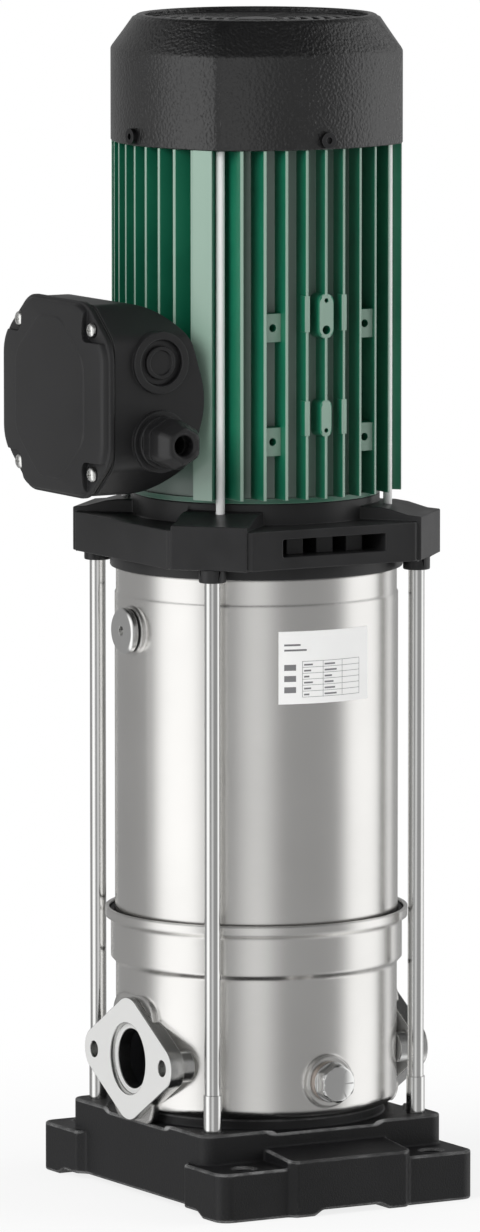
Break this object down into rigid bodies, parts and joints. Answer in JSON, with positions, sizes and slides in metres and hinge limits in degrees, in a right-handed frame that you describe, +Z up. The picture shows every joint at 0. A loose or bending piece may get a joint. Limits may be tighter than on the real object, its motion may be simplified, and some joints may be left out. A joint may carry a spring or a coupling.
{
  "type": "vertical multistage pump",
  "caption": "Tall in-line centrifugal pump: black base, stainless housing and jacket with tie rods, oval flanges, black lantern, green finned motor, terminal box and fan cover.",
  "frame": {"origin": "on the shaft line, at the plane of the base's feet, centre of the four floor bolt holes", "axes": "+Z up along the shaft, +X along the pipe line from suction (-X) to discharge (+X), -Y the side with the drain plug"},
  "size_m": [0.2114, 0.2074, 0.6357],
  "materials": {
    "cast_black": "black paint over a cast surface, worn bright at the edges",
    "lantern_black": "fine black paint",
    "stainless_sheet": "satin stainless sheet, drawn and rolled",
    "machined_steel": "bright turned stainless",
    "stage_steel": "pressed stainless",
    "bearing_steel": "ground steel",
    "zinc_steel": "bright zinc",
    "coupling_iron": "machined grey iron",
    "grey_iron": "machined casting",
    "laminations": "stacked electrical sheet",
    "copper": "varnished copper wire",
    "copper_ring": "soft copper",
    "bronze": "turned bronze",
    "green_aluminium": "green paint on extruded aluminium",
    "grained_plastic": "grained black moulding",
    "box_plastic": "matte black moulding",
    "gland_plastic": "smooth black moulding",
    "terminal_plastic": "dark moulded resin",
    "fan_plastic": "black moulding",
    "black_screw": "blackened steel",
    "rubber": "moulded rubber",
    "seal_carbon": "lapped carbon"
  },
  "bodies": {
    "pump": {"base_plate": "cast_black", "pump_housing": "stainless_sheet", "suction_flange": "machined_steel", "discharge_flange": "machined_steel", "jacket_tube": "stainless_sheet", "jacket_seals": "rubber", "intake_insert": "grey_iron", "lower_bush": "bronze", "stage_casing_1": "stage_steel", "stage_casing_2": "stage_steel", "stage_casing_3": "stage_steel", "stage_casing_4": "stage_steel", "stage_casing_5": "stage_steel", "stage_casing_6": "stage_steel", "discharge_ring": "stage_steel", "pump_head": "grey_iron", "tie_rods": "machined_steel", "tie_rod_nuts": "zinc_steel", "tie_rod_washers": "zinc_steel", "lantern": "lantern_black", "seal_seat": "seal_carbon", "motor_housing": "green_aluminium", "stator_core": "laminations", "stator_windings": "copper", "drive_end_shield": "grey_iron", "fan_end_shield": "grey_iron", "bearing_outer_rings": "bearing_steel", "bearing_balls": "bearing_steel", "motor_studs": "zinc_steel", "stud_nuts": "zinc_steel", "fan_cover": "grained_plastic", "fan_cover_screws": "black_screw", "terminal_box": "box_plastic", "lid_gasket": "rubber", "terminal_lid": "box_plastic", "lid_screws": "zinc_steel", "terminal_block": "terminal_plastic", "cable_gland_body": "gland_plastic", "cable_gland_nut": "gland_plastic", "gland_seal": "rubber", "blanking_plug": "gland_plastic"},
    "shaft": {"pump_shaft": "machined_steel", "impeller_1": "stage_steel", "impeller_2": "stage_steel", "impeller_3": "stage_steel", "impeller_4": "stage_steel", "impeller_5": "stage_steel", "impeller_6": "stage_steel", "shaft_spacers": "stage_steel", "seal_rotor": "stage_steel", "coupling_halves": "coupling_iron", "coupling_screws": "zinc_steel", "rotor_core": "laminations", "motor_shaft": "machined_steel", "bearing_inner_rings": "bearing_steel", "cooling_fan": "fan_plastic"},
    "drain_ring": {"drain_plug_seal": "copper_ring"},
    "drain_plug": {"drain_plug": "machined_steel"},
    "vent_ring": {"vent_plug_seal": "rubber"},
    "vent_plug": {"vent_plug": "machined_steel"}
  },
  "joints": [
    {"name": "shaft_spin", "type": "hinge", "parent": "pump", "child": "shaft", "pos_m": [0, 0, 0.3], "axis": [0, 0, 1], "continuous": true},
    {"name": "drain_ring_slide", "type": "slide", "parent": "pump", "child": "drain_ring", "axis": [0, -1, 0], "range_m": [0, 0.012]},
    {"name": "drain_plug_turn", "type": "hinge", "parent": "drain_ring", "child": "drain_plug", "pos_m": [0, -0.085, 0.0675], "axis": [0, -1, 0], "range_deg": [0, 3260]},
    {"name": "vent_ring_slide", "type": "slide", "parent": "pump", "child": "vent_ring", "axis": [-1, 0, 0], "range_m": [0, 0.012]},
    {"name": "vent_plug_turn", "type": "hinge", "parent": "vent_ring", "child": "vent_plug", "pos_m": [-0.08, 0, 0.3072], "axis": [-1, 0, 0], "range_deg": [0, 3260]}
  ],
  "couplings": [
    {"joint": "drain_plug_turn", "follows": "drain_ring_slide", "rad_per_m": 4699.5},
    {"joint": "vent_plug_turn", "follows": "vent_ring_slide", "rad_per_m": 4699.5}
  ]
}
